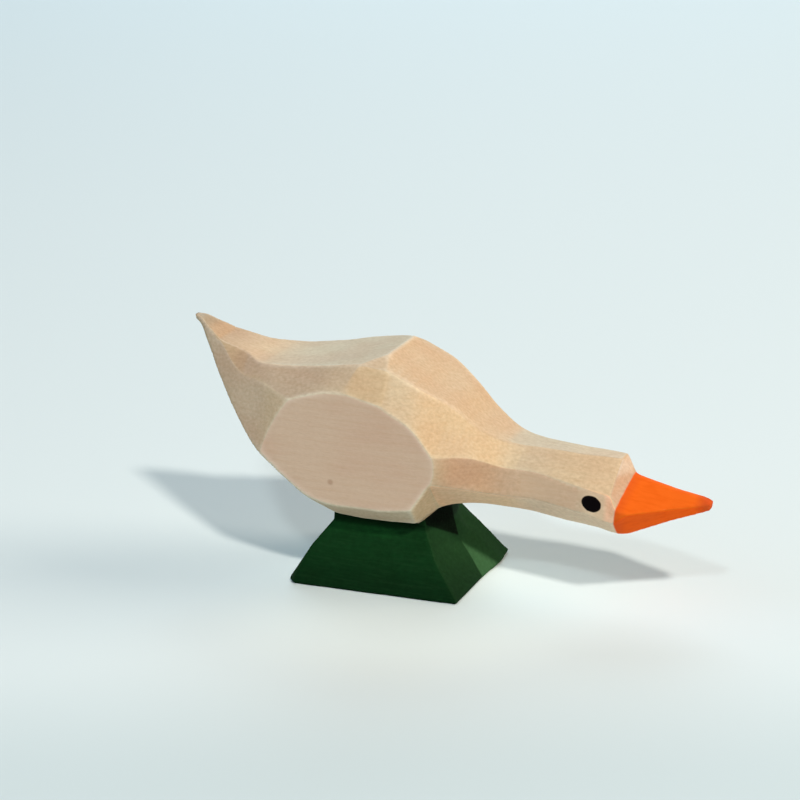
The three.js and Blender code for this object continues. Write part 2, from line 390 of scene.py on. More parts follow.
@dataclass(frozen=True)
class KnifeCutMaple:
    """Maple, cut with a knife and thinly oiled.

    Maple's pores are too fine to see, so the eye gets a pale, even wood with faint growth rings
    that run along the board and a light mottle from the knife. Cuts across the fibres drink more
    oil and look warmer. The sawn and sanded flanks are smoother, and the ridges are rubbed pale.
    Each group of cuts also gets a tone by the way it faces, which is partly painted light and shade,
    such as a painted cool sheen on the upward cuts of the back and the head.

    Attributes:
        pale: The wood between the growth rings.
        tan: Late wood, and streaks along the fibres.
        rosy: Wide blushes.
        oiled: End grain full of oil.
        knot: The pin knot on the flank.
        roughness: Middle roughness.
        roughness_change: How far the fibres change it.
        ring_spacing: Width of a growth ring.
        ring_waver: How far the rings stray, as the wave texture counts it.
        ring_detail: How many finer strays lie over those.
        ring_detail_scale: How close the strays are.
        ring_sharpness: Power that narrows the late wood.
        ring_share: Share of tan in the late wood.
        pith: Place of the tree's pith on Y and Z.
        fibre: Sizes of a fibre.
        streak: Fibre noise of a streak.
        streak_share: Share of tan in a streak.
        blush: Sizes of a blush.
        blush_span: Its noise.
        blush_share: Share of rosy in it.
        end_grain: How far end grain turns to the ends.
        soak: Share of oil on end grain, and what a fibre adds to it.
        mottle: Sizes of the blots that the knife leaves.
        mottle_strength: Their change of red, green and blue.
        flank_mottle: What is left of them on the sanded flanks.
        ridge: How proud a pale ridge stands.
        ridge_tone: Tone there.
        ridge_along: Places on X between which ridges are rubbed most.
        ridge_least: Share of rubbing elsewhere.
        ridge_neck: Places on X between which the neck starts.
        ridge_under: How far the neck's unrubbed underside faces down.
        fuzz: Sizes of the fuzz that the knife raises.
        fibre_height: Height of fibres and fuzz.
        knot_at: Place of the pin knot's middle.
        knot_radii: Distances from there.
        knot_share: How dark it is.
        cuts: Groups of cuts with a tone of their own by the way they face, partly painted light and
            shade.
    """

    pale: str = "#CDBFA4"
    tan: str = "#BA9B76"
    rosy: str = "#C2A48A"
    oiled: str = "#C49C6C"
    knot: str = "#8F6248"
    roughness: float = 0.62
    roughness_change: float = 0.12
    ring_spacing: float = 1.5
    ring_waver: float = 3.2
    ring_detail: float = 2.0
    ring_detail_scale: float = 0.35
    ring_sharpness: float = 2.0
    ring_share: float = 0.09
    pith: Pair = (-6.0, -34.0)
    fibre: Triple = (3.4, 0.34, 0.34)
    streak: Pair = (0.42, 0.75)
    streak_share: float = 0.14
    blush: Triple = (16.0, 9.0, 7.0)
    blush_span: Pair = (0.35, 0.7)
    blush_share: float = 0.35
    end_grain: Pair = (0.12, 0.8)
    soak: Pair = (0.36, 0.2)
    mottle: Triple = (0.75, 0.5, 0.5)
    mottle_strength: Triple = (0.4, 0.46, 0.56)
    flank_mottle: float = 0.3
    ridge: Pair = (0.03, 0.3)
    ridge_tone: Triple = (1.18, 1.28, 1.4)
    ridge_along: Stretch = (-28.0, -20.0, 14.0, 22.0)
    ridge_least: float = 0.2
    ridge_neck: Pair = (9.0, 13.0)
    ridge_under: Pair = (0.0, 0.25)
    fuzz: Triple = (0.9, 0.22, 0.22)
    fibre_height: float = 0.03
    knot_at: Triple = (-8.2, -13.9, 20.1)
    knot_radii: Pair = (0.8, 0.2)
    knot_share: float = 0.4
    cuts: tuple[Cut, ...] = (
        Cut(SIDE, FLANK, (*BEHIND, 12.0, 14.0), (1.03, 0.93, 0.97)),
        # The next two groups face up and get a painted cool sheen.
        Cut((-0.2, 0.0, 0.98), (0.96, 0.985), (-30.0, -15.0, 6.0, 12.0), (1.0, 1.13, 1.24)),
        Cut((0.04, 0.0, 1.0), (0.95, 0.985), (16.0, 20.0, *BEFORE), (1.02, 1.1, 1.17)),
        Cut((0.04, 0.0, 1.0), (0.95, 0.985), (17.0, 21.0, 31.0, 37.0), (0.92, 0.95, 0.98)),
        Cut((0.03, 0.77, 0.63), (0.96, 0.985), (-37.0, -34.5, -27.0, -22.0), (0.92, 0.86, 0.78)),
        Cut((-0.18, 0.64, 0.74), (0.96, 0.985), (*BEHIND, -14.0, -6.0), (0.94, 0.92, 0.95)),
        Cut((-0.39, 0.89, 0.23), (0.95, 0.98), (*BEHIND, -24.0, -20.0), (0.95, 0.94, 0.98)),
        Cut((0.35, 0.0, 0.94), (0.9, 0.95), (*BEHIND, -34.0, -28.0), (0.84, 0.77, 0.74)),
        Cut((0.5, 0.0, 0.86), (0.9, 0.95), (*BEHIND, -38.5, -36.0), (0.8, 0.93, 1.04)),
        Cut((0.54, 0.0, 0.84), (0.93, 0.97), (0.0, 3.0, 20.0, 26.0), (1.0, 1.02, 1.05)),
        Cut((0.41, 0.75, 0.53), (0.94, 0.98), (0.0, 4.0, 20.0, 32.0), (1.15, 1.16, 1.12)),
        Cut((0.1, 0.66, 0.74), (0.93, 0.98), (24.0, 38.0, *BEFORE), (1.15, 1.1, 1.01)),
        Cut((0.2, 0.97, 0.0), (0.86, 0.94), (11.0, 15.0, 36.0, 39.0), (1.01, 0.89, 0.87)),
        Cut((0.5, 0.87, 0.0), (0.92, 0.98), (8.0, 12.0, 22.0, 30.0), (0.95, 0.93, 0.92)),
        Cut((0.0, 0.97, 0.2), (0.8, 0.9), (36.5, 39.5, *BEFORE), (1.12, 1.05, 1.03)),
        Cut((0.0, 0.97, 0.24), (0.85, 0.92), (41.3, 42.6, *BEFORE), (1.24, 1.02, 0.98)),
        Cut((-0.08, 0.73, -0.68), (0.9, 0.95), (22.0, 28.0, *BEFORE), (1.24, 1.14, 1.16)),
        Cut((0.21, 0.68, -0.7), (0.93, 0.96), (7.0, 11.0, 22.0, 28.0), (1.3, 1.08, 0.98)),
        Cut((0.12, 0.82, 0.56), (0.97, 0.99), (-7.0, -4.0, 1.0, 3.0), (1.06, 0.99, 0.88)),
        Cut((0.83, 0.41, 0.39), (0.86, 0.93), (38.0, 42.0, *BEFORE), (0.99, 0.92, 0.97)),
        # The top of these cuts gets a painted cool sheen.
        Cut((0.83, 0.41, 0.39), (0.86, 0.93), (38.0, 42.0, *BEFORE), (1.12, 1.32, 1.5), (24.0, 25.4)),
    )

    def growth(self, ground: Ground) -> Socket:
        """Gives the growth rings about the tree's pith.

        Args:
            ground: What the finish reads.

        Returns:
            A share from 0 in early wood to 1 in late wood.
        """
        pith_y, pith_z = self.pith
        inputs = {"Vector": ground.place, "Location": (0.0, -pith_y, -pith_z)}
        centred = add_node(ground.tree, "Mapping", inputs)
        inputs = {
            "Vector": centred.outputs[0],
            "Scale": WAVE_PERIOD / self.ring_spacing,
            "Distortion": self.ring_waver,
            "Detail": self.ring_detail,
            "Detail Scale": self.ring_detail_scale,
        }
        settings = {"wave_type": "RINGS", "rings_direction": "X", "wave_profile": "SIN"}
        rings = add_node(ground.tree, "TexWave", inputs, **settings).outputs[1]
        return ground.work(Step.POWER, rings, self.ring_sharpness)

    def mottled(self, ground: Ground, colour: Socket) -> Socket:
        """Lightens and darkens the wood in small blots, less on the sanded flanks.

        Args:
            ground: What the finish reads.
            colour: The wood's colour so far.

        Returns:
            The colour with the blots.
        """
        work = ground.work
        kept = work(Step.MULTIPLY_ADD, ground.faced(SIDE, FLANK), self.flank_mottle - 1, 1.0)
        blots = work(Step.MULTIPLY, ground.swing(self.mottle, 3.0), kept)
        change = work(Step.SCALE_ALL, self.mottle_strength, blots)
        return work(Step.MULTIPLY_ADD_EACH, colour, change, colour)

    def ridge_share(self, ground: Ground) -> Socket:
        """Gives how far a ridge is rubbed pale, most on the body and not under the neck.

        Args:
            ground: What the finish reads.

        Returns:
            A share from 0 to 1.
        """
        work = ground.work
        on_neck = work(Step.RISE, ground.x, *self.ridge_neck)
        under_neck = work(Step.MULTIPLY, ground.faced(DOWN, self.ridge_under), on_neck)
        reached = work(Step.SUBTRACT, 1.0, under_neck)
        held = work(Step.MULTIPLY, ground.band(ground.x, self.ridge_along), reached)
        held = work(Step.MULTIPLY_ADD, held, 1 - self.ridge_least, self.ridge_least)
        return work(Step.MULTIPLY, work(Step.RISE, ground.wear, *self.ridge), held)

    def with_knot(self, ground: Ground, colour: Socket) -> Socket:
        """Darkens the pin knot on the flank.

        Args:
            ground: What the finish reads.
            colour: The wood's colour so far.

        Returns:
            The colour with the knot.
        """
        work = ground.work
        away = work(Step.DISTANCE, ground.place, self.knot_at)
        dark = work(Step.MULTIPLY, work(Step.RISE, away, *self.knot_radii), self.knot_share)
        return work(Step.MIX_COLOURS, dark, colour, linear(self.knot))

    def lay(self, ground: Ground) -> Surface:
        """Makes the bare wood that the other finishes go over.

        Args:
            ground: What the finish reads.

        Returns:
            The surface of the wood.
        """
        work = ground.work
        fibres = ground.grain(self.fibre, 3.0)
        blush = work(Step.RISE, ground.grain(self.blush, 1.0), *self.blush_span)
        soak, fibre_soak = self.soak
        end_soak = work(Step.MULTIPLY_ADD, fibres, fibre_soak, soak)
        colour = linear(self.pale)
        for share, strength, hue in (
            (self.growth(ground), self.ring_share, self.tan),
            (blush, self.blush_share, self.rosy),
            (work(Step.RISE, fibres, *self.streak), self.streak_share, self.tan),
            (ground.end_grain(self.end_grain), end_soak, self.oiled),
        ):
            share = work(Step.MULTIPLY, share, strength)
            colour = work(Step.MIX_COLOURS, share, colour, linear(hue))
        for cut in self.cuts:
            colour = ground.tinted(cut.share(ground), colour, cut.tone)
        colour = ground.tinted(self.ridge_share(ground), colour, self.ridge_tone)
        colour = self.with_knot(ground, self.mottled(ground, colour))
        least_rough = self.roughness - self.roughness_change / 2
        rough = work(Step.MULTIPLY_ADD, fibres, self.roughness_change, least_rough)
        height = work(Step.ADD, fibres, ground.grain(self.fuzz))
        return Surface(colour, rough, work(Step.MULTIPLY, height, self.fibre_height))


@dataclass(frozen=True)
class GreenStain:
    """Dark green water stain, brushed on the base up to the belly and left matt.

    Stain sinks into the wood, so the eye gets a deep green that stays a little uneven, with the
    grain showing through. It's lighter where the wood faces the ends and darker at the foot. A band
    along the top of the sides is lightened as painted light, and painted shade and a painted shadow
    make the crease under the belly and the hollow under the breast nearly black. A wedge at the
    front end, widening down to the foot, is a painted patch of light.

    Attributes:
        side: Stain on the side grain.
        end: Stain on the end grain.
        streak_and_lit_wedge_green: Lighter green, on the painted patch of light at the front end and
            on streaks.
        dark: Clouds on the sides.
        roughness: Roughness.
        crease_height: Height of the stain's edge under the belly.
        front_rise: Place on X where the edge starts to rise under the breast, and its slope.
        rear_rise: The same towards the tail.
        reach: Place on X past which the front rise doesn't hold.
        brush_waver: How far the brush strays from the edge.
        brush_blots: Sizes of those strays.
        edge: Width of the edge.
        cloud: Sizes of a cloud.
        cloud_span: Its noise.
        cloud_share: Share of the dark hue in it.
        end_grain: How far end grain turns to the ends.
        fibre: Sizes of a fibre.
        streak: Fibre noise of a streak.
        streak_share: Share of the thin hue in a streak.
        mottle: Sizes of the blots.
        mottle_light: Brightness of the darkest blot, and what the lightest adds.
        relief: What is left of the wood's relief.
        lit_wedge_tip: Place of the tip of the painted patch of light on Y and Z.
        lit_wedge_slopes: Way along Y for each millimetre down, of its two sides.
        lit_wedge_edges: Widths of those sides.
        foot: Heights of the dark foot.
        foot_tone: Tone there.
        front: How far the wood faces forwards on the front of the base.
        far_half: Places on Y of the front's far half, which has no dark foot.
        rim: Heights of the band of painted light along the top of the sides.
        rim_painted_light: Tone there, which lightens the band.
        rim_side: How far the band's wood faces sideways.
        rim_front: Places on X of the band's front end.
        crease: Heights of the painted shade in the crease under the belly.
        crease_painted_shade: Tone of that painted shade.
        hollow: The cuts of the hollow under the breast, darkened as a painted shadow, and their tone.
        hollow_side: Places on Y of the painted shadow's far side.
        hollow_low: Height of the painted shadow's lower edge at the middle, and its slope along Y.
        hollow_edge: Width of that edge.
    """

    side: str = "#0E3518"
    end: str = "#1D3F21"
    streak_and_lit_wedge_green: str = "#355B39"
    dark: str = "#0D2C11"
    roughness: float = 0.7
    crease_height: float = 12.5
    front_rise: Pair = (7.0, 0.72)
    rear_rise: Pair = (-8.6, -0.7)
    reach: float = 11.2
    brush_waver: float = 0.12
    brush_blots: Triple = (1.5, 1.5, 1.5)
    edge: float = 0.1
    cloud: Triple = (5.0, 5.0, 4.0)
    cloud_span: Pair = (0.35, 0.75)
    cloud_share: float = 0.3
    end_grain: Pair = (0.25, 0.6)
    fibre: Triple = (4.5, 0.4, 0.4)
    streak: Pair = (0.4, 0.8)
    streak_share: float = 0.08
    mottle: Triple = (0.9, 0.9, 0.7)
    mottle_light: Pair = (0.75, 0.5)
    relief: float = 0.7
    lit_wedge_tip: Pair = (0.6, 6.9)
    lit_wedge_slopes: Pair = (-0.226, 1.08)
    lit_wedge_edges: Pair = (0.4, 1.6)
    foot: Pair = (7.5, 0.5)
    foot_tone: Triple = (0.6, 0.62, 0.66)
    front: Pair = (0.5, 0.6)
    far_half: Pair = (0.0, 2.0)
    rim: Stretch = (8.8, 9.6, 10.5, 11.0)
    rim_painted_light: Triple = (1.6, 1.6, 1.5)
    rim_side: Pair = (0.7, 0.8)
    rim_front: Pair = (4.5, 1.0)
    crease: Pair = (10.7, 11.8)
    crease_painted_shade: Triple = (0.3, 0.4, 0.4)
    hollow: Cut = Cut((0.94, 0.2, 0.27), (0.965, 0.99), (5.0, 7.0, *BEFORE), (0.1, 0.12, 0.1))
    hollow_side: Pair = (0.45, 0.05)
    hollow_low: Pair = (7.5, -0.52)
    hollow_edge: float = 0.5

    def cover(self, ground: Ground) -> Socket:
        """Gives the stained part of the figure, from the foot up to the crease at the belly.

        Args:
            ground: What the finish reads.

        Returns:
            A share from 0 to 1.
        """
        work = ground.work
        front, rear = [
            work(Step.MULTIPLY, work(Step.SUBTRACT, ground.x, start), slope)
            for start, slope in (self.front_rise, self.rear_rise)
        ]
        under_breast = work(Step.LESS_THAN, ground.x, self.reach)
        rise = work(Step.MAXIMUM, work(Step.MULTIPLY, front, under_breast), rear)
        waver = work(Step.MULTIPLY, ground.grain(self.brush_blots), self.brush_waver)
        line = work(Step.ADD, work(Step.MAXIMUM, rise, 0.0), waver)
        line = work(Step.ADD, line, self.crease_height)
        return work(Step.RISE, work(Step.SUBTRACT, line, ground.height), 0.0, self.edge)

    def painted_lit_wedge(self, ground: Ground) -> Socket:
        """Gives the painted patch of light that widens from a tip down to the foot at the front end.

        Args:
            ground: What the finish reads.

        Returns:
            A share from 0 to 1.
        """
        work = ground.work
        tip_y, tip_z = self.lit_wedge_tip
        below = work(Step.SUBTRACT, tip_z, ground.height)
        sideways = work(Step.SUBTRACT, ground.y, tip_y)
        near, far = self.lit_wedge_slopes
        near_edge, far_edge = self.lit_wedge_edges
        past_near = work(Step.SUBTRACT, sideways, work(Step.MULTIPLY, below, near))
        before_far = work(Step.SUBTRACT, work(Step.MULTIPLY, below, far), sideways)
        inside = work(Step.RISE, past_near, 0.0, near_edge)
        between = work(Step.MULTIPLY, inside, work(Step.RISE, before_far, 0.0, far_edge))
        return work(Step.MULTIPLY, between, work(Step.GREATER_THAN, ground.x, 0.0))

    def shades(self, ground: Ground) -> list[tuple[Socket, Triple]]:
        """Gives the dark foot and the painted shade, light and shadow of the crease, band and hollow.

        Args:
            ground: What the finish reads.

        Returns:
            For each place, in order, a share from 0 to 1 and the factor on red, green and blue.
        """
        work = ground.work
        far_front = work(
            Step.MULTIPLY,
            work(Step.RISE, ground.forward, *self.front),
            work(Step.RISE, ground.y, *self.far_half),
        )
        foot = work(Step.RISE, ground.height, *self.foot)
        foot = work(Step.MULTIPLY, foot, work(Step.SUBTRACT, 1.0, far_front))
        # Painted shade in the crease under the belly.
        crease = work(Step.RISE, ground.height, *self.crease)
        # Painted light in a band along the top of the sides.
        behind_front = work(Step.RISE, ground.x, *self.rim_front)
        sides = work(Step.MULTIPLY, ground.faced(SIDE, self.rim_side), behind_front)
        rim = work(Step.MULTIPLY, ground.band(ground.height, self.rim), sides)
        # Painted shadow in the hollow under the breast, on its near side and above its lower edge.
        near_side = work(Step.RISE, ground.y, *self.hollow_side)
        painted_pool = work(Step.MULTIPLY, self.hollow.share(ground), near_side)
        low, slope = self.hollow_low
        above = work(Step.SUBTRACT, ground.height, work(Step.MULTIPLY_ADD, ground.y, slope, low))
        painted_pool = work(Step.MULTIPLY, painted_pool, work(Step.RISE, above, 0.0, self.hollow_edge))
        tones = (self.foot_tone, self.crease_painted_shade, self.rim_painted_light, self.hollow.tone)
        return list(zip((foot, crease, rim, painted_pool), tones))

    def lay(self, ground: Ground, wood: Surface) -> Surface:
        """Stains the base.

        Args:
            ground: What the finish reads.
            wood: The finish so far.

        Returns:
            The surface with the stain.
        """
        work = ground.work
        cloud = work(Step.RISE, ground.grain(self.cloud), *self.cloud_span)
        cloud = work(Step.MULTIPLY, cloud, self.cloud_share)
        colour = work(Step.MIX_COLOURS, cloud, linear(self.side), linear(self.dark))
        end_grain = ground.end_grain(self.end_grain)
        colour = work(Step.MIX_COLOURS, end_grain, colour, linear(self.end))
        for share, tone in self.shades(ground):
            colour = ground.tinted(share, colour, tone)
        streaks = work(Step.RISE, ground.grain(self.fibre, 3.0), *self.streak)
        streaks = work(Step.MULTIPLY, streaks, self.streak_share)
        # The lighter green goes on the painted patch of light and on the streaks along the fibres.
        for share in (self.painted_lit_wedge(ground), streaks):
            colour = work(Step.MIX_COLOURS, share, colour, linear(self.streak_and_lit_wedge_green))
        darkest, lighter = self.mottle_light
        blots = work(Step.MULTIPLY_ADD, ground.grain(self.mottle), lighter, darkest)
        colour = work(Step.SCALE_ALL, colour, blots)
        relief = work(Step.MULTIPLY, wood.height, self.relief)
        return wood.covered(ground, self.cover(ground), colour, self.roughness, relief)


@dataclass(frozen=True)
class OrangePaint:
    """Opaque orange casein paint, brushed on the beak.

    The eye gets a strong flat orange, redder at the blunt tip and along the edge, where the
    brush started, and an edge on the wood that follows the carved corner by hand.

    Attributes:
        orange: The paint.
        deep: The same in its deeper strokes.
        red: The hue at the tip and along the edge.
        roughness: Roughness.
        edge: Half the width of the edge.
        waver: How far the edge strays.
        blots: Sizes of those strays.
        tip: Places on X of the red at the tip.
        stroke: Sizes of a brush stroke.
        stroke_span: Noise of a deeper stroke.
        line: Heights on the head, and the place on X of the edge at each.
        first_strokes: How far past the edge its red reaches.
        first_share: Share of red there.
        tip_share: Share of red at the tip.
        height: Least height of the paint.
        stroke_height: What a stroke adds to it.
        under: The beak's downward facets, made brighter and redder as painted light, and their tone.
    """

    orange: str = "#EC6B1C"
    deep: str = "#E66315"
    red: str = "#C24C24"
    roughness: float = 0.6
    edge: float = 0.16
    waver: float = 0.22
    blots: Triple = (1.6, 1.6, 1.6)
    tip: Pair = (56.0, 58.6)
    stroke: Triple = (5.0, 0.8, 0.8)
    stroke_span: Pair = (0.4, 0.75)
    line: tuple[Pair, ...] = ((15.0, 43.4), (21.0, 44.15), (24.2, 44.95))
    first_strokes: float = 2.2
    first_share: float = 0.42
    tip_share: float = 0.75
    height: float = 0.02
    stroke_height: float = 0.012
    under: Cut = Cut((0.44, 0.65, -0.62), (0.9, 0.97), (*BEHIND, *BEFORE), (1.16, 0.88, 0.7))

    def past_line(self, ground: Ground) -> Socket:
        """Gives the way to the paint's edge, a line that leans forward as it rises.

        Args:
            ground: What the finish reads.

        Returns:
            Distance along X, positive on the paint.
        """
        work = ground.work
        stretches = [
            work(Step.MULTIPLY_ADD, work(Step.SUBTRACT, ground.height, z_low), slope, x_low)
            for (z_low, x_low), (z_high, x_high) in zip(self.line, self.line[1:])
            for slope in [(x_high - x_low) / (z_high - z_low)]
        ]
        past = work(Step.SUBTRACT, ground.x, work(Step.MAXIMUM, *stretches))
        return work(Step.MULTIPLY_ADD, ground.swing(self.blots), self.waver, past)

    def lay(self, ground: Ground, wood: Surface) -> Surface:
        """Paints the beak.

        Args:
            ground: What the finish reads.
            wood: The finish so far.

        Returns:
            The surface with the paint.
        """
        work = ground.work
        strokes = ground.grain(self.stroke)
        deeper = work(Step.RISE, strokes, *self.stroke_span)
        colour = work(Step.MIX_COLOURS, deeper, linear(self.orange), linear(self.deep))
        past = self.past_line(ground)
        first = work(Step.RISE, past, self.first_strokes, 0.0)
        first = work(Step.MULTIPLY, first, self.first_share)
        tip = work(Step.MULTIPLY, work(Step.RISE, ground.x, *self.tip), self.tip_share)
        reddened = work(Step.MAXIMUM, tip, first)
        colour = work(Step.MIX_COLOURS, reddened, colour, linear(self.red))
        # Painted light on the beak's downward facets.
        colour = ground.tinted(self.under.share(ground), colour, self.under.tone)
        relief = work(Step.MULTIPLY_ADD, strokes, self.stroke_height, self.height)
        share = work(Step.RISE, past, -self.edge, self.edge)
        return wood.covered(ground, share, colour, self.roughness, relief)


@dataclass(frozen=True)
class BlackPaint:
    """Black paint, dabbed on each side of the head as an eye.

    The eye gets a flat, slightly long dot with a soft edge, smoother than the wood around it.

    Attributes:
        black: The paint.
        roughness: Roughness.
        centre: Place of the dot's middle on X and Z.
        radii: Half its length and half its height.
        tilt: How far its front end points down.
        edge: Half the width of its edge, as a share of its radii.
        waver: How far the edge strays, as a share of its radii.
        blots: Sizes of those strays.
        least_across: Distance from the middle plane past which it shows.
        height: Height of the paint.
    """

    black: str = "#0B0709"
    roughness: float = 0.45
    centre: Pair = (39.32, 20.23)
    radii: Pair = (1.88, 1.4)
    tilt: float = 16.0
    edge: float = 0.06
    waver: float = 0.1
    blots: Triple = (0.9, 0.9, 0.9)
    least_across: float = 4.0
    height: float = 0.03

    def lay(self, ground: Ground, wood: Surface) -> Surface:
        """Paints both eyes.

        Args:
            ground: What the finish reads.
            wood: The finish so far.

        Returns:
            The surface with the eyes.
        """
        work = ground.work
        turn = math.radians(self.tilt)
        centre_x, centre_z = self.centre
        right = work(Step.SUBTRACT, ground.x, centre_x)
        down = work(Step.SUBTRACT, centre_z, ground.height)
        along = work(Step.MULTIPLY, right, math.cos(turn))
        along = work(Step.MULTIPLY_ADD, down, math.sin(turn), along)
        over = work(Step.MULTIPLY, down, math.cos(turn))
        over = work(Step.MULTIPLY_ADD, right, -math.sin(turn), over)
        squares = [
            work(Step.POWER, work(Step.ABSOLUTE, work(Step.DIVIDE, part, radius)), 2.0)
            for part, radius in zip((along, over), self.radii)
        ]
        out = work(Step.SQUARE_ROOT, work(Step.ADD, *squares))
        out = work(Step.MULTIPLY_ADD, ground.grain(self.blots), self.waver, out)
        rim = 1 + self.waver / 2
        dot = work(Step.RISE, out, rim + self.edge, rim - self.edge)
        on_side = work(Step.GREATER_THAN, ground.across, self.least_across)
        share = work(Step.MULTIPLY, dot, on_side)
        return wood.covered(ground, share, linear(self.black), self.roughness, self.height)


@dataclass
class PaintedWood:
    """The one material of the figure: maple with the stain, the paint and the eyes over it."""

    name: str = "knife_cut_maple_with_stain_and_paint"
    ior: float = 1.48
    specular: float = 0.03
    wood: KnifeCutMaple = KnifeCutMaple()
    stain: GreenStain = GreenStain()
    beak: OrangePaint = OrangePaint()
    eyes: BlackPaint = BlackPaint()

    def ground(self, tree: bpy.types.NodeTree) -> Ground:
        """Makes the nodes that every finish reads its places from.

        Args:
            tree: Node tree of the material.

        Returns:
            Their outputs.
        """
        coordinates = add_node(tree, "TexCoord").outputs
        place = add_step(tree, Step.MULTIPLY_EACH, coordinates["Object"], [1 / MM] * 3)
        x, y, height = add_node(tree, "SeparateXYZ", {0: place}).outputs
        across = add_step(tree, Step.ABSOLUTE, y)
        forward, sideways, upward = add_node(tree, "SeparateXYZ", {0: coordinates["Normal"]}).outputs
        outward = add_step(tree, Step.ABSOLUTE, sideways)
        mirrored = {"X": forward, "Y": outward, "Z": upward}
        facing = add_node(tree, "CombineXYZ", mirrored).outputs[0]
        wear = add_node(tree, "Attribute", attribute_name=RIDGE_WEAR).outputs["Fac"]
        return Ground(tree, place, x, y, height, across, facing, forward, wear)

    def build(self) -> bpy.types.Material:
        """Makes the material.

        Returns:
            The material with every finish laid in order.
        """
        material = bpy.data.materials.new(self.name)
        material.use_nodes = True
        tree = material.node_tree
        tree.nodes.clear()
        ground = self.ground(tree)
        surface = self.wood.lay(ground)
        for finish in (self.stain, self.beak, self.eyes):
            surface = finish.lay(ground, surface)
        bump = add_node(tree, "Bump", {"Height": surface.height, "Distance": MM, "Strength": 1.0})
        shader_inputs = {
            "Base Color": surface.colour,
            "Roughness": surface.roughness,
            "Normal": bump.outputs[0],
            "IOR": self.ior,
            "Specular IOR Level": self.specular,
        }
        shader = add_node(tree, "BsdfPrincipled", shader_inputs)
        add_node(tree, "OutputMaterial", {"Surface": shader.outputs[0]})
        return material


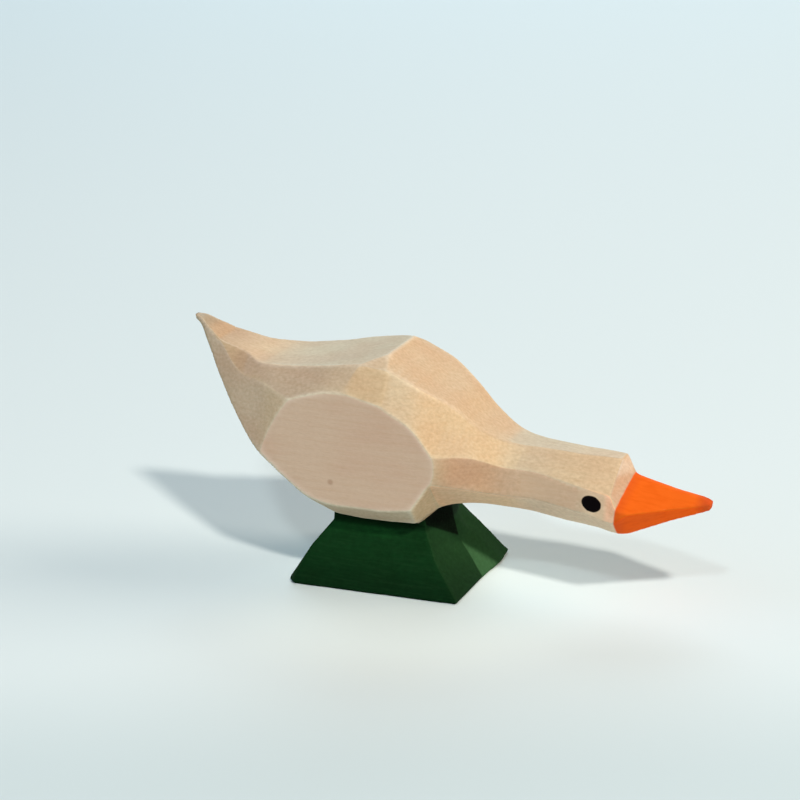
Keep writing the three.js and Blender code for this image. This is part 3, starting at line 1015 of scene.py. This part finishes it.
@dataclass
class Carving:
    """The whole figure, body, neck, head, beak and base, as one piece of carved wood.

    Attributes:
        node: CAD node that gives the form.
        name: Name of the piece.
        skin_depth: How many times the skin's grid is halved.
        skin_scales: Shares of the grid's width that the figure fills, tried in order.
        rubbing_starts: Where on X each pass over the ridges starts.
        rubbing: How far a pass takes a point to the middle of its neighbours.
        wear_passes: Passes that show how proud a ridge stands.
        cut_waver: How far the cuts stray from flat.
        cut_waver_size: Length of such a stray.
        flute: Depth of the fine flutes that the knife leaves.
        flute_size: Sizes of a flute.
        foot_band: Height of the foot that stays true, and of the band in which the marks start.
        thin_tail: Place on X behind which the tail's end stays true.
        flank_facing: How far the sanded flanks face sideways.
        flank_share: What is left of the marks on the flanks.
        slot: Name of the record's material slot for maple.
        finish: Its finish.
    """

    node: str = "goose"
    name: str = "carved_goose"
    skin_depth: int = 8
    skin_scales: tuple[float, ...] = (0.99, 0.98, 0.97, 0.96, 0.95, 0.93, 0.91, 0.89)
    rubbing_starts: Triple = (-36.0, -33.0, -30.0)
    rubbing: float = 0.5
    wear_passes: int = 30
    cut_waver: float = 0.16
    cut_waver_size: float = 6.5
    flute: float = 0.05
    flute_size: Triple = (13.0, 2.8, 2.8)
    foot_band: float = 0.6
    thin_tail: float = -38.5
    flank_facing: float = 0.985
    flank_share: float = 0.15
    slot: Slot = Slot.MAPLE
    finish: PaintedWood = field(default_factory=PaintedWood)

    def blank(self) -> bpy.types.Mesh:
        """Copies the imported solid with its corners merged.

        Returns:
            The copy, in millimetres.
        """
        solid = bmesh.new()
        solid.from_mesh(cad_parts[self.node].data)
        bmesh.ops.remove_doubles(solid, verts=solid.verts, dist=MERGED)
        bmesh.ops.scale(solid, vec=Vector((1, 1, 1)) / MM, verts=solid.verts)
        return as_mesh(self.name, solid)

    def fine_skin(self) -> bmesh.types.BMesh:
        """Covers the solid with an even mesh, fine enough for the marks of the knife.

        The mesh keeps the solid's ridges. A grid that leaves a seam open somewhere is passed
        over for a slightly coarser one.

        Returns:
            The mesh, in millimetres.
        """
        mould = add_object("mould", self.blank())
        remesh = mould.modifiers.new("even skin", "REMESH")
        remesh.mode = "SHARP"
        remesh.octree_depth = self.skin_depth
        remesh.use_remove_disconnected = False
        body = bmesh.new()
        for scale in self.skin_scales:
            remesh.scale = scale
            graph = bpy.context.evaluated_depsgraph_get()
            skin = bpy.data.meshes.new_from_object(mould.evaluated_get(graph))
            body.clear()
            body.from_mesh(skin)
            bpy.data.meshes.remove(skin)
            if all(edge.is_manifold for edge in body.edges):
                break
        LOG.info("skin at a scale of %.2f: %d faces", scale, len(body.faces))
        bpy.data.objects.remove(mould)
        return body

    def rub_ridges(self, body: bmesh.types.BMesh, starts: Iterable[float]) -> None:
        """Smooths the mesh a little, which rounds its ridges and leaves its flats flat.

        Args:
            body: The mesh.
            starts: Where on X each pass starts, so that the thin end of the tail can be spared.
        """
        for start in starts:
            bmesh.ops.smooth_vert(
                body,
                verts=[vertex for vertex in body.verts if vertex.co.x > start],
                factor=self.rubbing,
                use_axis_x=True,
                use_axis_y=True,
                use_axis_z=True,
            )

    def measure_wear(self, body: bmesh.types.BMesh) -> list[float]:
        """Finds how proud each point stands, as a hand that rubs the figure would.

        Args:
            body: The mesh with its ridges rubbed.

        Returns:
            For each vertex, how far more smoothing would take it inwards, in millimetres.
        """
        smooth = body.copy()
        self.rub_ridges(smooth, [-math.inf] * self.wear_passes)
        body.normal_update()
        wear = [(v.co - s.co).dot(v.normal) for v, s in zip(body.verts, smooth.verts)]
        smooth.free()
        return wear

    def knife_mark(self, place: Vector, facing: Vector) -> float:
        """Gives the height of the cut surface over the ideal one at a point.

        Args:
            place: The point, in millimetres.
            facing: The surface's normal there.

        Returns:
            Height in millimetres, along the normal.
        """
        waver = noise.noise(place / self.cut_waver_size) * self.cut_waver
        stretched = Vector(part / size for part, size in zip(place, self.flute_size))
        flute = noise.noise(stretched) * self.flute
        off_foot = min(max(place.z / self.foot_band - 1, 0), 1)
        off_tail = min(max(place.x - self.thin_tail, 0), 1)
        on_flank = abs(facing.y) > self.flank_facing
        return (waver + flute) * off_foot * off_tail * (self.flank_share if on_flank else 1)

    def cut(self, body: bmesh.types.BMesh) -> None:
        """Moves the surface by the marks of the knife, and never below the floor.

        Args:
            body: The mesh.
        """
        body.normal_update()
        moves = [v.normal * self.knife_mark(v.co, v.normal) for v in body.verts]
        for vertex, move in zip(body.verts, moves):
            vertex.co += move
            vertex.co.z = max(vertex.co.z, 0)

    def build(self) -> bpy.types.Object:
        """Builds the piece and dresses it.

        Returns:
            The piece, which stands for the CAD node.
        """
        body = self.fine_skin()
        self.rub_ridges(body, self.rubbing_starts)
        wear = self.measure_wear(body)
        self.cut(body)
        bmesh.ops.scale(body, vec=Vector((MM, MM, MM)), verts=body.verts)
        for face in body.faces:
            face.smooth = True
        mesh = as_mesh(self.name, body)
        mesh.attributes.new(RIDGE_WEAR, "FLOAT", "POINT").data.foreach_set("value", wear)
        mesh.materials.append(self.finish.build())
        piece = add_object(self.name, mesh)
        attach(piece, "root")
        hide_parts(self.node)
        LOG.info("%s: %d faces, one piece of wood", piece.name, len(mesh.polygons))
        return piece


@dataclass
class Floor:
    """A plain pale floor that fills the view, with a painted pool of light around the figure
    and painted shade towards the camera.

    Attributes:
        colour: Colour of the card.
        painted_light_colour: Its colour around the figure, a painted pool of light.
        painted_shade_colour: Its colour towards the camera, painted shade.
        painted_pool: Place of the middle of the painted light on X and Y.
        painted_light_radii: Distances from there.
        front: Distances of the painted shade from the figure.
        front_bearing: Bearing of the way to the front.
        roughness: Roughness of the card.
        reach: Side of the floor.
        drop: How far the floor lies below the figure's foot.
    """

    colour: str = "#D9EBF0"
    painted_light_colour: str = "#E4F8FC"
    painted_shade_colour: str = "#C7DCE2"
    painted_pool: Pair = (8.0, -20.0)
    painted_light_radii: Pair = (40.0, 14.0)
    front: Pair = (36.0, 94.0)
    front_bearing: float = PHOTO_BEARING
    roughness: float = 0.75
    reach: float = 6000.0
    drop: float = 0.02

    def finish(self) -> bpy.types.Material:
        """Makes the slightly cool matt white card, with painted light and shade on it.

        Returns:
            The material.
        """
        material = bpy.data.materials.new("matt_white_card")
        material.use_nodes = True
        tree = material.node_tree
        shader = tree.nodes["Principled BSDF"]
        place = add_node(tree, "TexCoord").outputs["Object"]
        forward = add_step(tree, Step.COSINE, place, direction(self.front_bearing, 0.0))
        away = add_step(tree, Step.DISTANCE, place, Vector((*self.painted_pool, 0.0)) * MM)
        colour = linear(self.colour)
        # Paints a pool of light around the figure and shade towards the camera.
        for value, (none, full), other in (
            (away, self.painted_light_radii, self.painted_light_colour),
            (forward, self.front, self.painted_shade_colour),
        ):
            share = add_step(tree, Step.RISE, value, none * MM, full * MM)
            colour = add_step(tree, Step.MIX_COLOURS, share, colour, linear(other))
        tree.links.new(colour, shader.inputs["Base Color"])
        shader.inputs["Roughness"].default_value = self.roughness
        return material

    def build(self) -> bpy.types.Object:
        """Builds the floor.

        Returns:
            The floor.
        """
        slab = bmesh.new()
        bmesh.ops.create_grid(slab, x_segments=1, y_segments=1, size=self.reach / 2 * MM)
        bmesh.ops.translate(slab, vec=(0, 0, -self.drop * MM), verts=slab.verts)
        mesh = as_mesh("floor", slab)
        mesh.materials.append(self.finish())
        floor = add_object("floor", mesh)
        LOG.info("floor: %.0f mm across", self.reach)
        return floor


@dataclass
class Lamp:
    """A round studio lamp that looks at the figure from a bearing and an elevation.

    Attributes:
        name: Name of the lamp.
        bearing: Its bearing.
        elevation: Its elevation.
        distance: Distance from the figure.
        size: Diameter of the lamp.
        watts: Power.
        colour: Red, green and blue of its light.
        aim: Point that it looks at.
    """

    name: str
    bearing: float
    elevation: float
    distance: float
    size: float
    watts: float
    colour: Triple = (1.0, 1.0, 1.0)
    aim: Triple = (0.0, 0.0, 20.0)

    def build(self) -> bpy.types.Object:
        """Makes the lamp and turns it to the figure.

        Returns:
            The lamp.
        """
        lamp = bpy.data.lights.new(self.name, "AREA")
        lamp.shape = "DISK"
        lamp.size = self.size * MM
        lamp.energy = self.watts
        lamp.color = self.colour
        stand = add_object(self.name, lamp)
        look_from(stand, self.aim, self.bearing, self.elevation, self.distance)
        LOG.info("lamp %s: %.1f W", self.name, self.watts)
        return stand


@dataclass
class Studio:
    """The light on the figure and the camera that looks at it.

    The first two lamps make the crisp shadows, and the other three fill them. The camera's focal
    length and the width of its picture are in pixels of the photograph.
    """

    sky: str = "#C9D3D8"
    sky_strength: float = 0.03
    bearing: float = PHOTO_BEARING
    elevation: float = 18.0
    distance: float = 500.0
    aim: Triple = (-0.1, 0.0, 32.5)
    focal_pixels: float = 2731.0
    image_pixels: float = 800.0
    sensor: float = 36.0
    lamps: tuple[Lamp, ...] = (
        Lamp("key", 42.0, 48.0, 1600.0, 150.0, 16.6, (1.0, 0.86, 0.76)),
        Lamp("second", 8.0, 45.0, 1700.0, 150.0, 4.8, (0.97, 1.0, 1.0)),
        Lamp("warm_side", 120.0, 30.0, 1600.0, 1100.0, 16.8, (1.0, 0.82, 0.69)),
        Lamp("cool_back", 200.0, 30.0, 1600.0, 1100.0, 10.8, (0.76, 0.91, 1.0)),
        Lamp("cool_left", -60.0, 30.0, 1600.0, 1100.0, 3.4, (0.63, 0.79, 1.0)),
    )

    def light(self) -> None:
        """Lights the scene with the lamps and a pale sky."""
        world = bpy.data.worlds.new("pale_room")
        world.use_nodes = True
        background = world.node_tree.nodes["Background"]
        background.inputs["Color"].default_value = linear(self.sky)
        background.inputs["Strength"].default_value = self.sky_strength
        bpy.context.scene.world = world
        for lamp in self.lamps:
            lamp.build()

    def set_camera(self) -> None:
        """Sets the camera where the photograph was taken from."""
        view = bpy.data.cameras.new("camera")
        view.sensor_width = self.sensor
        view.lens = self.focal_pixels / self.image_pixels * self.sensor
        view.clip_start = MM
        camera = add_object("camera", view)
        look_from(camera, self.aim, self.bearing, self.elevation, self.distance)
        bpy.context.scene.camera = camera

    def build(self) -> None:
        """Sets up light, camera and the plain display of colours."""
        self.light()
        self.set_camera()
        bpy.context.scene.view_settings.view_transform = "Standard"


def main() -> None:
    """Builds the figure, the floor and the studio."""
    logging.basicConfig(level=logging.INFO, format="%(name)s: %(message)s")
    Carving().build()
    Floor().build()
    Studio().build()


if __name__ == "__main__":
    main()
